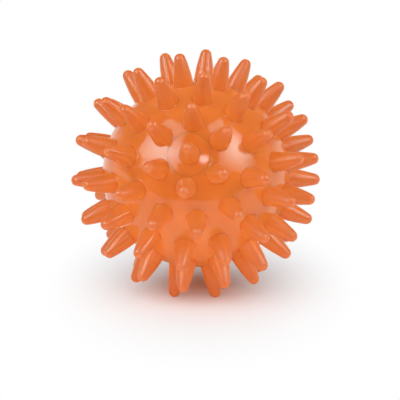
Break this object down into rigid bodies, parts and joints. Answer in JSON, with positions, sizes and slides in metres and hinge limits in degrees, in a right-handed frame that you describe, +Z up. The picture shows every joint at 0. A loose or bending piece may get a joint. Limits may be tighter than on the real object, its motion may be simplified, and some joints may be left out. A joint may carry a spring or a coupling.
{
  "type": "sensory ball",
  "caption": "Hollow soft-plastic sensory ball covered with round-ended spikes, made of two bonded half shells, with a pull-out filling plug in a sleeve.",
  "frame": {"origin": "on the floor, under the middle of the ball", "axes": "+Z up; -Y is the front, where the filling plug faces, 20.6 degrees above the horizon; +X to the right seen from the front"},
  "size_m": [0.0778, 0.0784, 0.0771],
  "materials": {
    "soft_skin": "soft glossy moulded plastic, slightly see-through",
    "soft_plug": "soft glossy moulded plastic, slightly see-through",
    "soft_sleeve": "soft moulded plastic"
  },
  "bodies": {
    "ball": {"front_half_shell": "soft_skin", "rear_half_shell": "soft_skin", "valve_sleeve": "soft_sleeve", "front_spikes_row_1": "soft_skin", "front_spikes_row_2": "soft_skin", "front_spikes_row_3": "soft_skin", "front_spikes_row_4": "soft_skin", "rear_spikes_row_1": "soft_skin", "rear_spikes_row_2": "soft_skin", "rear_spikes_row_3": "soft_skin", "rear_spikes_row_4": "soft_skin", "rear_pole_spike": "soft_skin"},
    "plug": {"filling_plug": "soft_plug"}
  },
  "joints": [
    {"name": "plug_pull", "type": "slide", "parent": "ball", "child": "plug", "axis": [0, -0.936, 0.352], "range_m": [0, 0.014]}
  ]
}
